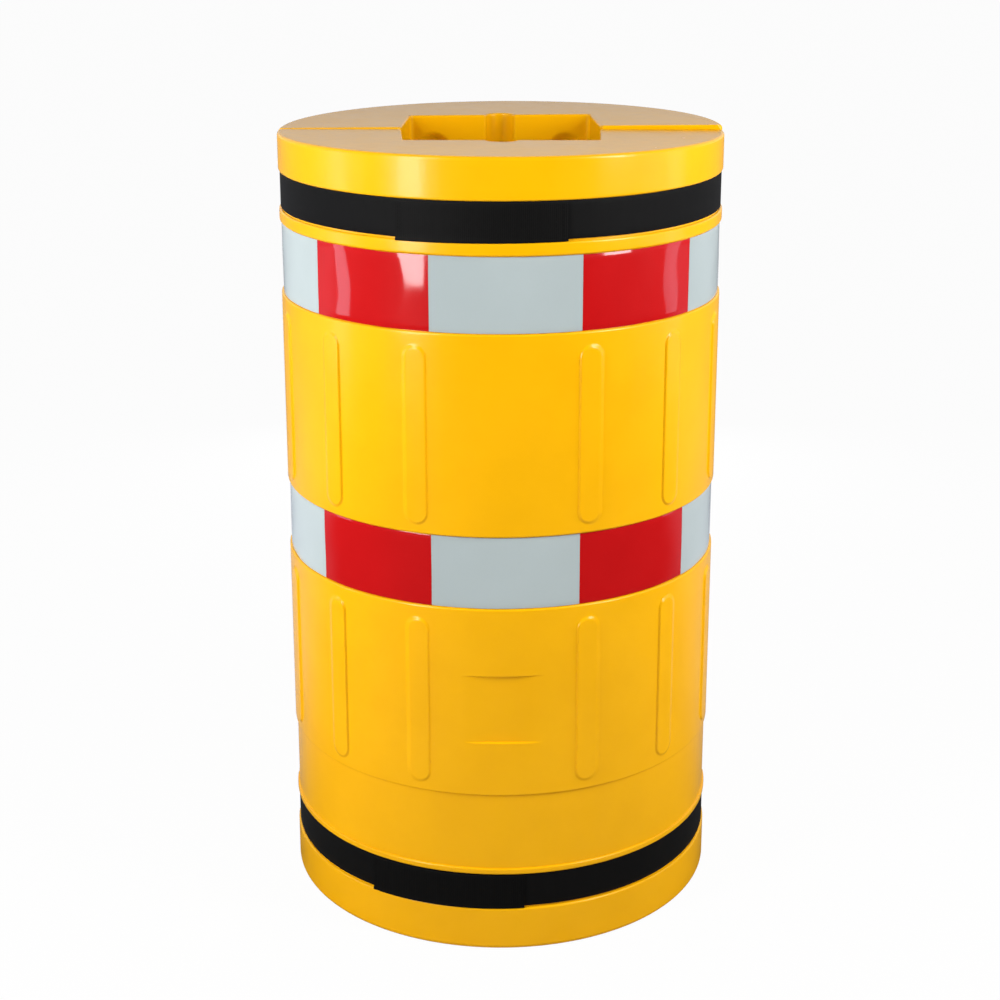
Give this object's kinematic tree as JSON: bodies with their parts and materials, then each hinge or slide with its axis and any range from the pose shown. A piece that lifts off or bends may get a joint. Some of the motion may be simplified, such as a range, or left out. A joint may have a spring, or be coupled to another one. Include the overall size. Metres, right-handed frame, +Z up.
{
  "type": "column protector",
  "caption": "Hollow plastic guard in two half shells that close round a square column, with red and white reflective film bands and hook-and-loop straps.",
  "frame": {"origin": "on the floor, on the axis of the column that the halves close round", "axes": "+Z up along the column, -Y towards the front half's middle, the halves part on the XZ plane"},
  "size_m": [0.6148, 0.615, 1.1],
  "materials": {
    "yellow_polyethylene": "gloss",
    "white_reflective_film": "gloss",
    "red_reflective_film": "gloss",
    "black_webbing": "matte",
    "black_hook_tape": "matte"
  },
  "bodies": {
    "rear_half": {"rear_half_shell": "yellow_polyethylene", "rear_upper_film_white_left": "white_reflective_film", "rear_upper_film_red_left": "red_reflective_film", "rear_upper_film_white_middle": "white_reflective_film", "rear_upper_film_red_right": "red_reflective_film", "rear_upper_film_white_right": "white_reflective_film", "rear_lower_film_white_left": "white_reflective_film", "rear_lower_film_red_left": "red_reflective_film", "rear_lower_film_white_middle": "white_reflective_film", "rear_lower_film_red_right": "red_reflective_film", "rear_lower_film_white_right": "white_reflective_film", "upper_strap_back": "black_webbing", "lower_strap_back": "black_webbing"},
    "front_half": {"front_half_shell": "yellow_polyethylene", "front_upper_film_white_left": "white_reflective_film", "front_upper_film_red_left": "red_reflective_film", "front_upper_film_white_middle": "white_reflective_film", "front_upper_film_red_right": "red_reflective_film", "front_upper_film_white_right": "white_reflective_film", "front_lower_film_white_left": "white_reflective_film", "front_lower_film_red_left": "red_reflective_film", "front_lower_film_white_middle": "white_reflective_film", "front_lower_film_red_right": "red_reflective_film", "front_lower_film_white_right": "white_reflective_film"},
    "upper_left_arm": {"upper_strap_left": "black_webbing"},
    "upper_right_arm": {"upper_strap_right": "black_webbing"},
    "upper_tail": {"upper_strap_tail": "black_hook_tape"},
    "lower_left_arm": {"lower_strap_left": "black_webbing"},
    "lower_right_arm": {"lower_strap_right": "black_webbing"},
    "lower_tail": {"lower_strap_tail": "black_hook_tape"}
  },
  "joints": [
    {"name": "front_half_pull", "type": "slide", "parent": "rear_half", "child": "front_half", "axis": [0, -1, 0], "range_m": [0, 0.42]},
    {"name": "upper_left_arm_swing", "type": "hinge", "parent": "rear_half", "child": "upper_left_arm", "pos_m": [-0.3054, 0, 1.02], "axis": [0, 0, -1], "range_deg": [0, 102]},
    {"name": "upper_right_arm_swing", "type": "hinge", "parent": "rear_half", "child": "upper_right_arm", "pos_m": [0.3054, 0, 1.02], "axis": [0, 0, 1], "range_deg": [0, 126]},
    {"name": "upper_tail_peel", "type": "hinge", "parent": "upper_right_arm", "child": "upper_tail", "pos_m": [0.06046, -0.30119, 1.02], "axis": [0, 0, 1], "range_deg": [0, 75]},
    {"name": "lower_left_arm_swing", "type": "hinge", "parent": "rear_half", "child": "lower_left_arm", "pos_m": [-0.3054, 0, 0.09], "axis": [0, 0, -1], "range_deg": [0, 102]},
    {"name": "lower_right_arm_swing", "type": "hinge", "parent": "rear_half", "child": "lower_right_arm", "pos_m": [0.3054, 0, 0.09], "axis": [0, 0, 1], "range_deg": [0, 126]},
    {"name": "lower_tail_peel", "type": "hinge", "parent": "lower_right_arm", "child": "lower_tail", "pos_m": [0.00754, -0.30711, 0.09], "axis": [0, 0, 1], "range_deg": [0, 75]}
  ],
  "couplings": [
    {"joint": "upper_left_arm_swing", "follows": "front_half_pull", "rad_per_m": 4.2},
    {"joint": "upper_right_arm_swing", "follows": "front_half_pull", "rad_per_m": 5.2},
    {"joint": "lower_left_arm_swing", "follows": "front_half_pull", "rad_per_m": 4.2},
    {"joint": "lower_right_arm_swing", "follows": "front_half_pull", "rad_per_m": 5.2}
  ]
}
